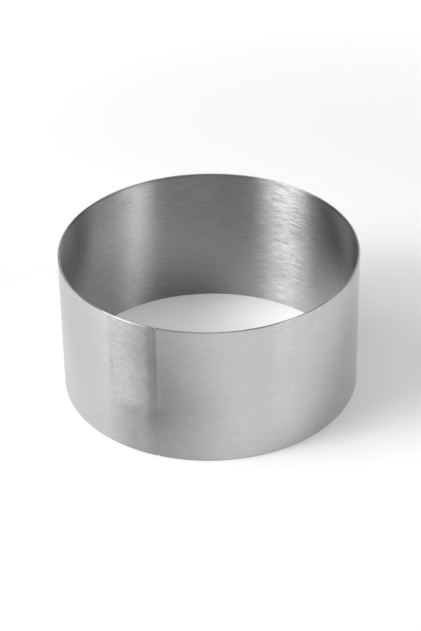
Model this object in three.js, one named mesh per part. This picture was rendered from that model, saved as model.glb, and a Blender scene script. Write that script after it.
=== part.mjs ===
// Food ring: a strip of stainless steel rolled into a hoop, its butted ends closed by an upright weld.
// Millimetres, +Z up. The ring stands on its lower rim, its axis on Z, and the weld faces -Y.
import * as THREE from "three";

// Sizes that set the ring
const ringDiameter = 90;
const ringHeight = 45;
const wallThickness = 0.6;
const weldWidth = 0.9;
const weldEndDip = 0.4;
const rimEdgeRadius = 0.15;

// Steps along the hoop, across the weld and round one edge
const hoopSteps = 180;
const weldSteps = 2;
const edgeSteps = 2;

// Lines worked out from the sizes above
const outerRadius = ringDiameter / 2;
const innerRadius = outerRadius - wallThickness;
const weldHalfAngle = Math.asin(weldWidth / 2 / outerRadius);

// Section of the wall as radius and height, with rounded edges, from the lower outer edge round
function wallSection(bottom, top) {
  const outerSide = outerRadius - rimEdgeRadius;
  const innerSide = innerRadius + rimEdgeRadius;
  const lowSide = bottom + rimEdgeRadius;
  const highSide = top - rimEdgeRadius;
  const path = new THREE.Path();
  path.absarc(outerSide, lowSide, rimEdgeRadius, -Math.PI / 2, 0);
  path.absarc(outerSide, highSide, rimEdgeRadius, 0, Math.PI / 2);
  path.absarc(innerSide, highSide, rimEdgeRadius, Math.PI / 2, Math.PI);
  path.absarc(innerSide, lowSide, rimEdgeRadius, Math.PI, Math.PI * 1.5);
  return path.getPoints(edgeSteps / 2);
}

// Carries a section round the axis, by angles measured from -Y towards +X, and closes both ends
function sweepSection(section, startAngle, endAngle, steps) {
  const count = section.length;
  const positions = [];
  const faces = [];
  for (let step = 0; step <= steps; step++) {
    const angle = startAngle + ((endAngle - startAngle) * step) / steps;
    for (const point of section) {
      positions.push(point.x * Math.sin(angle), -point.x * Math.cos(angle), point.y);
    }
  }
  for (let step = 0; step < steps; step++) {
    for (let side = 0; side < count; side++) {
      const near = step * count + side;
      const nearNext = step * count + ((side + 1) % count);
      faces.push(near, near + count, nearNext);
      faces.push(nearNext, near + count, nearNext + count);
    }
  }
  const lastRow = steps * count;
  for (const [first, second, third] of THREE.ShapeUtils.triangulateShape(section, [])) {
    faces.push(first, second, third);
    faces.push(lastRow + third, lastRow + second, lastRow + first);
  }
  const geometry = new THREE.BufferGeometry();
  geometry.setAttribute("position", new THREE.Float32BufferAttribute(positions, 3));
  geometry.setIndex(faces);
  geometry.computeVertexNormals();
  return geometry;
}

const bandSteel = new THREE.MeshStandardMaterial({ color: 0xb9babb, metalness: 1, roughness: 0.34 });
const weldSteel = new THREE.MeshStandardMaterial({ color: 0xa9aaab, metalness: 1, roughness: 0.28 });

// Rolled strip: runs from one side of the weld all the way round to the other, with square ends
const bandSection = wallSection(0, ringHeight);
const bandShape = sweepSection(bandSection, weldHalfAngle, Math.PI * 2 - weldHalfAngle, hoopSteps);
const ringBand = new THREE.Mesh(bandShape, bandSteel);
ringBand.name = "ring_band";

// Weld: fills the gap between the strip's ends, dressed flush, and stops just short of both rims
const weldSection = wallSection(weldEndDip, ringHeight - weldEndDip);
const weldShape = sweepSection(weldSection, -weldHalfAngle, weldHalfAngle, weldSteps);
const weldSeam = new THREE.Mesh(weldShape, weldSteel);
weldSeam.name = "weld_seam";

const foodRing = new THREE.Group();
foodRing.name = "food_ring";
foodRing.add(ringBand, weldSeam);

export default foodRing;
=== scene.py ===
import bpy
import bmesh
from math import asin, atan2, cos, pi, radians, sin
from mathutils import Matrix, Vector


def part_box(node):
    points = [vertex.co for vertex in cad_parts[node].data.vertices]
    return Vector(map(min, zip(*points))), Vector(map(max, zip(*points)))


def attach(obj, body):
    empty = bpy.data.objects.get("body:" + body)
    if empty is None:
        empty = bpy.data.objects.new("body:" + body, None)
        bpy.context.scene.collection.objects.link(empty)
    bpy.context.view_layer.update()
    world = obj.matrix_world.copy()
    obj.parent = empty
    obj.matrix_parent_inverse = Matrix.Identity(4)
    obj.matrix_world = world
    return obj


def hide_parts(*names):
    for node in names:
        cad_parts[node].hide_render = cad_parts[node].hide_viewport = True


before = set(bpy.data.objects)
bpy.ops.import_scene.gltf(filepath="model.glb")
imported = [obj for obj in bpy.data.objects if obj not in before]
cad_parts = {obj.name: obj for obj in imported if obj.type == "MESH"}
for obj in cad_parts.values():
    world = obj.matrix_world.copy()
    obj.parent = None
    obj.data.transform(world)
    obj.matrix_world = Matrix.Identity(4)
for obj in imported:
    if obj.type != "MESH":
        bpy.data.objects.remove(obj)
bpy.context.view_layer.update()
print("frame loaded:", sorted(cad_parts))

scene = bpy.context.scene
scene.view_settings.view_transform = "Standard"

bandLow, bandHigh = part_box("ring_band")
weldLow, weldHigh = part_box("weld_seam")
ringRadius = bandHigh.x
ringHeight = bandHigh.z
halfWeld = asin(weldHigh.x / ringRadius)  # half the angle that the weld takes up
mm = 1000.0  # materials measure in millimetres

# both sides of the wall laid out flat, along the strip from the weld and up it; the inner side lies higher
strip = {
    "map": "stripMap",
    "innerLift": 0.1,
    "innerSide": (60.0, 90.0),  # millimetres up, in the gap between the two sides
    "innerFacing": -0.3,  # a face that points outwards less than this is on the inner side
    "angleSlack": 0.001,
}


# node helpers: a value may be a number or another node's output

def feed(tree, socket, value):
    if isinstance(value, bpy.types.NodeSocket):
        tree.links.new(value, socket)
    else:
        socket.default_value = value


def addNode(tree, kind, inputs=None, **settings):
    node = tree.nodes.new(kind)
    for key, value in settings.items():
        setattr(node, key, value)
    for key, value in (inputs or {}).items():
        feed(tree, node.inputs[key], value)
    return node


def calc(tree, operation, *values):
    node = addNode(tree, "ShaderNodeMath", operation=operation)
    for socket, value in zip(node.inputs, values):
        feed(tree, socket, value)
    return node.outputs[0]


def plus(tree, first, second):
    return calc(tree, "ADD", first, second)


def minus(tree, first, second):
    return calc(tree, "SUBTRACT", first, second)


def times(tree, product, *values):
    for value in values:
        product = calc(tree, "MULTIPLY", product, value)
    return product


def highest(tree, most, *values):
    for value in values:
        most = calc(tree, "MAXIMUM", most, value)
    return most


def fade(tree, value, start, end):
    # 0 at start, 1 at end, eased between
    inputs = {"Value": value, "From Min": start, "From Max": end}
    return addNode(tree, "ShaderNodeMapRange", inputs, interpolation_type="SMOOTHSTEP").outputs[0]


def addUp(tree, base, *shares):
    # base value, and for each share how strongly a mask moves it either way of its middle
    total = base
    for mask, strength in shares:
        total = plus(tree, total, times(tree, minus(tree, mask, 0.5), strength))
    return total


def darken(tree, tone, *shares):
    # takes a share off a tone for each mask
    for mask, share in shares:
        tone = times(tree, tone, minus(tree, 1.0, times(tree, mask, share)))
    return tone


def split(tree, vector):
    return addNode(tree, "ShaderNodeSeparateXYZ", {"Vector": vector}).outputs


def turnFlat(tree, vector, angle):
    inputs = {"Vector": vector, "Angle": angle}
    return addNode(tree, "ShaderNodeVectorRotate", inputs, rotation_type="Z_AXIS").outputs[0]


def noiseOn(tree, vector, scale, detail):
    inputs = {"Vector": vector, "Scale": scale, "Detail": detail}
    return addNode(tree, "ShaderNodeTexNoise", inputs).outputs["Fac"]


def startGroup(name, inputs, outputs):
    # takes a place on the laid out strip, and any further numbers by name
    tree = bpy.data.node_groups.new(name, "ShaderNodeTree")
    tree.interface.new_socket("Map", in_out="INPUT", socket_type="NodeSocketVector")
    for label, value in inputs.items():
        socket = tree.interface.new_socket(label, in_out="INPUT", socket_type="NodeSocketFloat")
        socket.default_value = value
    for label in outputs:
        tree.interface.new_socket(label, in_out="OUTPUT", socket_type="NodeSocketFloat")
    return tree, addNode(tree, "NodeGroupInput").outputs, addNode(tree, "NodeGroupOutput").inputs


def useGroup(tree, group, **inputs):
    labelled = {key.capitalize(): value for key, value in inputs.items()}
    return addNode(tree, "ShaderNodeGroup", labelled, node_tree=group).outputs


def heightOn(tree, up):
    # height above the foot, on either side of the wall
    return calc(tree, "MODULO", up, strip["innerLift"] * mm)


# lines of brushing: length and width of a line, the band of noise that it is cut to, and its own seed

grain = {
    "streaks": {"width": 0.3, "low": 0.38, "high": 0.62, "seed": 1.0},  # as long as each piece says
    "fine": {"length": 2.2, "width": 0.17, "low": 0.3, "high": 0.7, "seed": 4.0},
    "clouds": {"length": 26.0, "width": 9.0, "low": 0.3, "high": 0.7, "seed": 7.0},
    "slants": {"turn": -0.12, "length": 1.9, "width": 0.4, "low": 0.55, "high": 0.72, "seed": 15.0},
    "blotches": {"length": 2.4, "width": 1.1, "low": 0.25, "high": 0.75, "seed": 21.0},
}
grainDetail = 1.5


def makeGrainLines():
    # long narrow spots of noise
    inputs = {"Turn": 0.0, "Length": 1.0, "Width": 1.0, "Low": 0.0, "High": 1.0, "Seed": 0.0}
    tree, given, result = startGroup("grainLines", inputs, ["Lines"])
    along, across, _ = split(tree, turnFlat(tree, given["Map"], given["Turn"]))
    along = calc(tree, "DIVIDE", along, given["Length"])
    across = calc(tree, "DIVIDE", across, given["Width"])
    spot = addNode(tree, "ShaderNodeCombineXYZ", {"X": along, "Y": across, "Z": given["Seed"]})
    noise = noiseOn(tree, spot.outputs[0], 1.0, grainDetail)
    tree.links.new(fade(tree, noise, given["Low"], given["High"]), result["Lines"])
    return tree


# cut edge along both rims, a little ragged where the wall begins

rimLook = {
    "reach": 0.3,
    "noiseScale": 0.6,
    "noiseDetail": 2.0,
}


def makeRimEdge():
    tree, given, result = startGroup("rimEdge", {}, ["Edge"])
    height = heightOn(tree, split(tree, given["Map"])["Y"])
    noise = noiseOn(tree, given["Map"], rimLook["noiseScale"], rimLook["noiseDetail"])
    reach = times(tree, rimLook["reach"], plus(tree, noise, 0.5))
    low = fade(tree, height, reach, 0.0)
    high = fade(tree, minus(tree, ringHeight * mm, height), reach, 0.0)
    tree.links.new(highest(tree, low, high), result["Edge"])
    return tree


# ground beside the weld, in millimetres: sides are counted from the weld to its right, heights from
# the foot, and a pair says where a change starts and where it is complete

groundLook = {
    "noiseScale": 0.3,
    "noiseDetail": 3.0,
    "wander": 1.6,
    "lowSpread": 5.5,  # near the foot edges shift left by this, or by a share of it
    "lowSpreadHeights": (19.0, 13.5),
}

# heat tint beside the weld, spread into a broad painted shade that reaches far to its right
heatTintAndShadeLook = {
    "level": 0.83,
    "leftSides": (-16.0, 3.0),
    "rightSides": (25.0, -4.0),
    "leftDrawBack": 3.0,
    "leftDrawBackHeights": (36.0, 26.0),
    "rightReach": 2.5,
    "rightReachHeights": (32.0, 18.0),
    "lowerGain": 0.22,
    "lowerGainHeights": (44.0, 26.0),
    "footLoss": 0.3,
    "footLossHeights": (-1.0, 18.0),
}

trackLook = {
    "leftSides": (-4.2, -1.47),
    "rightSide": 0.45,
    "softness": 0.35,
    "lowSoftness": 2.3,
    "lowSoftnessHeights": (24.0, 12.0),
    "halo": 0.45,
    "haloSides": (6.0, 0.0),
    "haloHeights": (38.0, 22.0),
    "footHeights": (2.0, 24.0),
}

scuffLook = {
    "leftSide": -15.9,
    "blur": 0.9,
    "lowBlur": 2.6,
    "lowBlurHeights": (26.0, 10.0),
    "rightSides": (-1.5, -4.5),
    "spreadShare": 0.55,
}


def markHeat(tree, softSide, height, lowSpread):
    # heat tint with a broad painted shade; it reaches furthest left low down and least far at half height
    drawBack = times(tree, fade(tree, height, *heatTintAndShadeLook["leftDrawBackHeights"]), heatTintAndShadeLook["leftDrawBack"])
    leftSide = plus(tree, softSide, minus(tree, lowSpread, drawBack))
    reach = times(tree, fade(tree, height, *heatTintAndShadeLook["rightReachHeights"]), heatTintAndShadeLook["rightReach"])
    rightSide = minus(tree, softSide, reach)
    lowerGain = (fade(tree, height, *heatTintAndShadeLook["lowerGainHeights"]), heatTintAndShadeLook["lowerGain"])
    footLoss = (fade(tree, height, *heatTintAndShadeLook["footLossHeights"]), heatTintAndShadeLook["footLoss"])
    level = addUp(tree, heatTintAndShadeLook["level"], lowerGain, footLoss)
    fromLeft = fade(tree, leftSide, *heatTintAndShadeLook["leftSides"])
    return times(tree, fromLeft, fade(tree, rightSide, *heatTintAndShadeLook["rightSides"]), level)


def markTrack(tree, side, softSide, height):
    # crisp at its right but near the foot, with a weaker shade beyond, lower down
    lowSoft = times(tree, fade(tree, height, *trackLook["lowSoftnessHeights"]), trackLook["lowSoftness"])
    soft = plus(tree, trackLook["softness"], lowSoft)
    fromLeft = fade(tree, softSide, *trackLook["leftSides"])
    rightSide = trackLook["rightSide"]
    toRight = fade(tree, side, plus(tree, rightSide, soft), minus(tree, rightSide, soft))
    haloHeight = times(tree, fade(tree, height, *trackLook["haloHeights"]), trackLook["halo"])
    halo = times(tree, fade(tree, softSide, *trackLook["haloSides"]), haloHeight)
    aboveFoot = fade(tree, height, *trackLook["footHeights"])
    return times(tree, fromLeft, highest(tree, toRight, halo), aboveFoot)


def markScuff(tree, side, softSide, height, lowSpread):
    # its left edge softens lower down
    lowBlur = times(tree, fade(tree, height, *scuffLook["lowBlurHeights"]), scuffLook["lowBlur"])
    blur = plus(tree, scuffLook["blur"], lowBlur)
    leftSide = scuffLook["leftSide"]
    fromLeft = fade(tree, softSide, minus(tree, leftSide, blur), plus(tree, leftSide, blur))
    spreadSide = plus(tree, side, times(tree, lowSpread, scuffLook["spreadShare"]))
    return times(tree, fromLeft, fade(tree, spreadSide, *scuffLook["rightSides"]))


def makeWeldZone():
    # darkened by heat tint and by a painted shade around it, darkest in a track along the weld, and scuffed
    # by dressing at its left
    tree, given, result = startGroup("weldZone", {}, ["Heat", "Track", "Scuff"])
    along, up, _ = split(tree, given["Map"])
    halfRound = pi * ringRadius * mm
    side = calc(tree, "WRAP", along, halfRound, -halfRound)
    height = heightOn(tree, up)
    noise = noiseOn(tree, given["Map"], groundLook["noiseScale"], groundLook["noiseDetail"])
    softSide = addUp(tree, side, (noise, groundLook["wander"]))
    lowSpread = times(tree, fade(tree, height, *groundLook["lowSpreadHeights"]), groundLook["lowSpread"])
    tree.links.new(markHeat(tree, softSide, height, lowSpread), result["Heat"])
    tree.links.new(markTrack(tree, side, softSide, height), result["Track"])
    tree.links.new(markScuff(tree, side, softSide, height, lowSpread), result["Scuff"])
    return tree


grainLines = makeGrainLines()
rimEdge = makeRimEdge()
weldZone = makeWeldZone()
print("surface effects made")


# brushed steel, as far as both pieces share it

steel = {
    "roughness": 0.21,
    "innerRough": 0.15,
    "edgeRough": 0.1,
    "rough": {"coarse": 0.085, "fine": 0.06, "clouds": 0.02},
    "shade": {"coarse": 0.55, "fine": 0.5, "clouds": 0.12},
    "scuffShade": 0.38,
    "blotchShare": 0.8,
    "scuffHeights": (-8.0, 24.0),  # scuffs thin out towards the foot
    "outerGain": 0.42,  # strength of the streaks outside, next to those inside
    # share of the brightness that each mark takes off
    "dull": {
        "inside": 0.1,
        # painted shade low on the inner wall at the back
        "paintedFootShade": 0.38,
        # heat tint beside the weld, with a broad painted shade
        "heatTintAndShade": 0.53,
        "track": 0.3,
        "scuffed": 0.15,
        "edge": 0.18,
        "nicks": 0.5,
    },
    # painted shade inside at the back, low down; places along the laid out strip and up it
    "backFrom": (144.0, 162.0),
    "backTo": (188.0, 170.0),
    "footHeights": (122.0, 100.0),
    "grainDepth": 0.000010,
    "streakRelief": 0.7,
    "fineRelief": 0.3,
    "wearRelief": 0.4,
    "anisotropy": 1.0,
    "grainTurn": 0.25,
}


def markNick(tree, spot, nick):
    # one short scratch, by its place along the strip and up it
    middle = (nick["along"], nick["up"], 0)
    moved = addNode(tree, "ShaderNodeVectorMath", {0: spot, 1: middle}, operation="SUBTRACT")
    along, across, _ = split(tree, turnFlat(tree, moved.outputs[0], -radians(nick["slope"])))
    ends = fade(tree, calc(tree, "ABSOLUTE", along), nick["length"] / 2, nick["length"] / 4)
    sides = fade(tree, calc(tree, "ABSOLUTE", across), nick["width"] / 2, 0.0)
    return times(tree, ends, sides)


def brush(tree, spot, **lines):
    return useGroup(tree, grainLines, map=spot, **lines)["Lines"]


def markSteel(tree, spot, look):
    # masks for the brushing, the ground beside the weld with its painted shade, the wear, and a painted
    # shade low inside at the back
    along, up, _ = split(tree, spot)
    inside = fade(tree, up, *strip["innerSide"])
    paintedShadeAtBack = times(tree, fade(tree, along, *steel["backFrom"]), fade(tree, along, *steel["backTo"]))
    zone = useGroup(tree, weldZone, map=spot)
    streaks = brush(tree, spot, length=look["streakLength"], **grain["streaks"])
    gain = plus(tree, steel["outerGain"], times(tree, inside, 1.0 - steel["outerGain"]))
    blotches = brush(tree, spot, **grain["blotches"])
    rubs = addUp(tree, brush(tree, spot, **grain["slants"]), (blotches, steel["blotchShare"]))
    nicks = 0.0
    for nick in look["nicks"]:
        nicks = plus(tree, nicks, markNick(tree, spot, nick))
    return {
        "inside": inside,
        # painted shade low on the inner wall at the back
        "paintedFootShade": times(tree, inside, paintedShadeAtBack, fade(tree, up, *steel["footHeights"])),
        "coarse": addUp(tree, 0.5, (streaks, gain)),
        "fine": brush(tree, spot, **grain["fine"]),
        "clouds": brush(tree, spot, **grain["clouds"]),
        # heat tint beside the weld, with a broad painted shade
        "heatTintAndShade": zone["Heat"],
        "track": zone["Track"],
        "scuffed": zone["Scuff"],
        "scuffs": times(tree, rubs, zone["Scuff"], fade(tree, up, *steel["scuffHeights"])),
        "edge": useGroup(tree, rimEdge, map=spot)["Edge"],
        "nicks": nicks,
    }


def pick(marks, shares):
    return [(marks[key], share) for key, share in shares.items()]


def makeSteel(name, look):
    material = bpy.data.materials.new(name)
    material.use_nodes = True
    tree = material.node_tree
    shader = tree.nodes["Principled BSDF"]
    layout = addNode(tree, "ShaderNodeUVMap", uv_map=strip["map"])
    spot = addNode(tree, "ShaderNodeVectorMath", {0: layout.outputs[0], "Scale": mm}, operation="SCALE")
    marks = markSteel(tree, spot.outputs[0], look)

    shade = addUp(tree, 0.5, *pick(marks, steel["shade"]))
    shade = plus(tree, shade, times(tree, marks["scuffs"], steel["scuffShade"]))
    tones = {"Value": shade, "To Min": look["darkTone"], "To Max": look["lightTone"]}
    tone = addNode(tree, "ShaderNodeMapRange", tones, clamp=False).outputs[0]
    tree.links.new(darken(tree, tone, *pick(marks, steel["dull"])), shader.inputs["Base Color"])

    rough = plus(tree, steel["roughness"], times(tree, marks["inside"], steel["innerRough"]))
    rough = addUp(tree, rough, *pick(marks, steel["rough"]))
    rough = plus(tree, rough, times(tree, marks["edge"], steel["edgeRough"]))
    tree.links.new(rough, shader.inputs["Roughness"])

    relief = times(tree, marks["coarse"], steel["streakRelief"])
    relief = plus(tree, relief, times(tree, marks["fine"], steel["fineRelief"]))
    wear = times(tree, plus(tree, marks["scuffs"], marks["nicks"]), steel["wearRelief"])
    depth = {"Strength": 1.0, "Distance": steel["grainDepth"], "Height": minus(tree, relief, wear)}
    bump = addNode(tree, "ShaderNodeBump", depth)
    tree.links.new(bump.outputs[0], shader.inputs["Normal"])

    shader.inputs["Metallic"].default_value = 1.0
    shader.inputs["Anisotropic"].default_value = steel["anisotropy"]
    shader.inputs["Anisotropic Rotation"].default_value = steel["grainTurn"]
    grainWay = addNode(tree, "ShaderNodeTangent", direction_type="UV_MAP", uv_map=strip["map"])
    tree.links.new(grainWay.outputs[0], shader.inputs["Tangent"])
    return material


# wall of the ring, which both pieces are cut from

wall = {
    "thickness": 0.0006,
    "edgeRadius": 0.00022,
    "edgeSegments": 4,
    "mergeGap": 1e-7,
    "levelGap": 1e-6,
    "sharpAngle": 40,
}


def isLevel(edge):
    first, second = (v.co for v in edge.verts)
    radiusGap = abs(first.xy.length - second.xy.length)
    return abs(first.z - second.z) < wall["mergeGap"] and radiusGap < wall["levelGap"]


def sweepWall(bm, bottom, top, startAngle, turn, steps):
    # a rectangle of wall, spun round the axis and closed at both ends, with its edges rounded
    inner = ringRadius - wall["thickness"]
    corners = [(inner, bottom), (ringRadius, bottom), (ringRadius, top), (inner, top)]
    section = [bm.verts.new((r * sin(startAngle), -r * cos(startAngle), z)) for r, z in corners]
    startFace = bm.faces.new(section)
    bmesh.ops.spin(bm, geom=[startFace], cent=(0, 0, 0), axis=(0, 0, 1), angle=turn, steps=steps,
                   use_merge=False, use_duplicate=False)
    bmesh.ops.remove_doubles(bm, verts=bm.verts, dist=wall["mergeGap"])
    bmesh.ops.recalc_face_normals(bm, faces=bm.faces)
    longEdges = [e for e in bm.edges if isLevel(e)]
    bmesh.ops.bevel(bm, geom=longEdges, offset=wall["edgeRadius"], offset_type="OFFSET", affect="EDGES",
                    segments=wall["edgeSegments"], profile=0.5, material=-1)


def mapAlongStrip(bm, startAngle):
    # in metres; the slack keeps the strip's first edge from being counted as a full turn
    layer = bm.loops.layers.uv.new(strip["map"])
    start = startAngle - strip["angleSlack"]
    for face in bm.faces:
        outward = face.normal.xy.dot(face.calc_center_median().xy.normalized())
        lift = strip["innerLift"] if outward < strip["innerFacing"] else 0.0
        for loop in face.loops:
            point = loop.vert.co
            angle = (atan2(point.x, -point.y) - start) % (2 * pi) + start
            across = point.z + ringRadius - point.xy.length
            loop[layer].uv = (angle * ringRadius, across + lift)


def finishPiece(name, bm, node, material):
    mesh = bpy.data.meshes.new(name)
    bm.to_mesh(mesh)
    bm.free()
    mesh.materials.append(material)
    mesh.shade_smooth()
    mesh.set_sharp_from_angle(angle=radians(wall["sharpAngle"]))
    piece = bpy.data.objects.new(name, mesh)
    scene.collection.objects.link(piece)
    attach(piece, "root")
    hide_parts(node)
    print("piece made:", name, len(mesh.polygons), "faces")


# rolled strip

band = {
    "turnSteps": 360,
    "darkTone": 0.44,
    "lightTone": 0.64,
    "streakLength": 6.5,
    "nicks": [{"along": 267.9, "up": 29.1, "slope": -65, "length": 3.2, "width": 0.5},
              {"along": 258.5, "up": 41.0, "slope": -20, "length": 1.2, "width": 0.5}],
}


def makeBand():
    bm = bmesh.new()
    sweepWall(bm, bandLow.z, bandHigh.z, halfWeld, 2 * pi - 2 * halfWeld, band["turnSteps"])
    mapAlongStrip(bm, halfWeld)
    finishPiece("ringBand", bm, "ring_band", makeSteel("bandSteel", band))


# weld between its ends

weld = {
    "turnSteps": 6,
    "darkTone": 0.42,
    "lightTone": 0.62,
    "streakLength": 1.2,
    "nicks": [],
}


def makeWeld():
    bm = bmesh.new()
    sweepWall(bm, weldLow.z, weldHigh.z, -halfWeld, 2 * halfWeld, weld["turnSteps"])
    mapAlongStrip(bm, -halfWeld)
    finishPiece("weldSeam", bm, "weld_seam", makeSteel("weldSteel", weld))


makeBand()
makeWeld()


# camera at the photograph's viewing angle

cameraSpot = {
    "azimuth": 20.5,
    "elevation": 33.52,
    "distance": 0.63405,
    "focalPixels": 2088.0,
    "centreOff": (-0.69, -4.11),  # pixels from the image's middle to the ring's, right and down
    "roll": -0.842,
    "imageHeight": 631,
}


def wayTo(turn, lift):
    # direction at an angle round from the front, to the right, and an angle up
    return Vector((sin(turn) * cos(lift), -cos(turn) * cos(lift), sin(lift)))


def makeCamera():
    spot = cameraSpot
    turn, lift, roll = radians(spot["azimuth"]), radians(spot["elevation"]), radians(spot["roll"])
    back = wayTo(turn, lift)
    right = Vector((cos(turn), sin(turn), 0))
    up = back.cross(right)
    place = Vector((0, 0, ringHeight / 2)) + back * spot["distance"]
    offX, offY = (v / spot["focalPixels"] for v in spot["centreOff"])
    forward = (-back - right * offX + up * offY).normalized()
    right = forward.cross(Vector((0, 0, 1))).normalized()
    up = right.cross(forward)
    right, up = right * cos(roll) + up * sin(roll), up * cos(roll) - right * sin(roll)
    data = bpy.data.cameras.new("camera")
    data.lens = spot["focalPixels"] / spot["imageHeight"] * data.sensor_width
    camera = bpy.data.objects.new("camera", data)
    camera.matrix_world = Matrix((right, up, -forward)).transposed().to_4x4()
    camera.location = place
    scene.collection.objects.link(camera)
    scene.camera = camera


makeCamera()
print("camera placed")


def seenOrMirrored(tree):
    # 1 for what the camera sees, straight, mirrored or through glass
    ray = addNode(tree, "ShaderNodeLightPath").outputs
    return highest(tree, ray["Is Camera Ray"], ray["Is Glossy Ray"], ray["Is Transmission Ray"])


# floor: its glow, which grows away from the ring, is there for the camera and for reflections only

floorLook = {
    "size": 8.0,
    "drop": 0.00002,
    "tone": 0.85,
    "glow": 0.12,
    "farGlow": 0.9,
    "farStart": 0.14,
    "farEnd": 0.55,
}


def makePaper():
    material = bpy.data.materials.new("floorPaper")
    material.use_nodes = True
    tree = material.node_tree
    shader = tree.nodes["Principled BSDF"]
    shader.inputs["Base Color"].default_value = (floorLook["tone"],) * 3 + (1,)
    shader.inputs["Roughness"].default_value = 1.0
    shader.inputs["Specular IOR Level"].default_value = 0.0
    shader.inputs["Emission Color"].default_value = (1, 1, 1, 1)
    place = addNode(tree, "ShaderNodeTexCoord").outputs["Object"]
    away = addNode(tree, "ShaderNodeVectorMath", {0: place}, operation="LENGTH").outputs["Value"]
    far = fade(tree, away, floorLook["farStart"], floorLook["farEnd"])
    glow = calc(tree, "MULTIPLY_ADD", far, floorLook["farGlow"] - floorLook["glow"], floorLook["glow"])
    tree.links.new(times(tree, seenOrMirrored(tree), glow), shader.inputs["Emission Strength"])
    return material


def makeFloor():
    bm = bmesh.new()
    bmesh.ops.create_grid(bm, x_segments=1, y_segments=1, size=floorLook["size"])
    mesh = bpy.data.meshes.new("floor")
    bm.to_mesh(mesh)
    bm.free()
    mesh.materials.append(makePaper())
    floor = bpy.data.objects.new("floor", mesh)
    floor.location.z = -floorLook["drop"]
    scene.collection.objects.link(floor)


# world: a low pale wall closes the floor off; its heights are sines of the angle above the floor

worldLook = {
    "tone": 0.02,
    "wallTone": 0.6,
    "wallTop": 0.17,
    "wallFade": 0.25,
}


def makeWorld():
    world = bpy.data.worlds.new("studio")
    world.use_nodes = True
    tree = world.node_tree
    rise = split(tree, addNode(tree, "ShaderNodeTexCoord").outputs["Generated"])["Z"]
    onWall = fade(tree, rise, worldLook["wallFade"], worldLook["wallTop"])
    shown = times(tree, onWall, seenOrMirrored(tree))
    tone = calc(tree, "MULTIPLY_ADD", shown, worldLook["wallTone"] - worldLook["tone"], worldLook["tone"])
    tree.links.new(tone, tree.nodes["Background"].inputs["Color"])
    scene.world = world


# lamps: azimuths are measured round from the camera, to its right
# strength is the brightness of a panel's face

lamps = {
    "keyCore": {"azimuth": -68, "elevation": 36, "distance": 0.9, "size": (0.19, 0.28), "strength": 9.18},
    "keyWide": {"azimuth": -67, "elevation": 36, "distance": 0.92, "size": (0.57, 0.28), "strength": 9.93},
    "keyHigh": {"azimuth": -90, "elevation": 56, "distance": 0.9, "size": (0.52, 0.31), "strength": 3.74},
    "rightCore": {"azimuth": 52, "elevation": 20, "distance": 0.9, "size": (0.22, 0.22), "strength": 5.56},
    "rightHigh": {"azimuth": 68, "elevation": 36, "distance": 0.9, "size": (0.19, 0.28), "strength": 6.75},
    "rightWide": {"azimuth": 86, "elevation": 20, "distance": 0.92, "size": (0.58, 0.22), "strength": 2.65},
    "backRight": {"azimuth": 142, "elevation": 12, "distance": 0.9, "size": (0.46, 0.25), "strength": 1.24},
    "backHigh": {"azimuth": 178, "elevation": 25, "distance": 0.9, "size": (0.46, 0.4), "strength": 1.35},
    "topPanel": {"azimuth": -30, "elevation": 86, "distance": 0.8, "size": (0.5, 0.5), "strength": 2.20},
}


def addLamp(name, lamp):
    turn = radians(lamp["azimuth"] + cameraSpot["azimuth"])
    way = wayTo(turn, radians(lamp["elevation"]))
    right = Vector((cos(turn), sin(turn), 0))
    data = bpy.data.lights.new(name, "AREA")
    data.shape = "RECTANGLE"
    data.size, data.size_y = lamp["size"]
    data.energy = lamp["strength"] * pi * data.size * data.size_y
    panel = bpy.data.objects.new(name, data)
    panel.matrix_world = Matrix((right, way.cross(right), way)).transposed().to_4x4()
    panel.location = way * lamp["distance"] + Vector((0, 0, ringHeight / 2))
    panel.visible_camera = False
    scene.collection.objects.link(panel)


makeFloor()
for name, lamp in lamps.items():
    addLamp(name, lamp)
makeWorld()
print("studio lit")
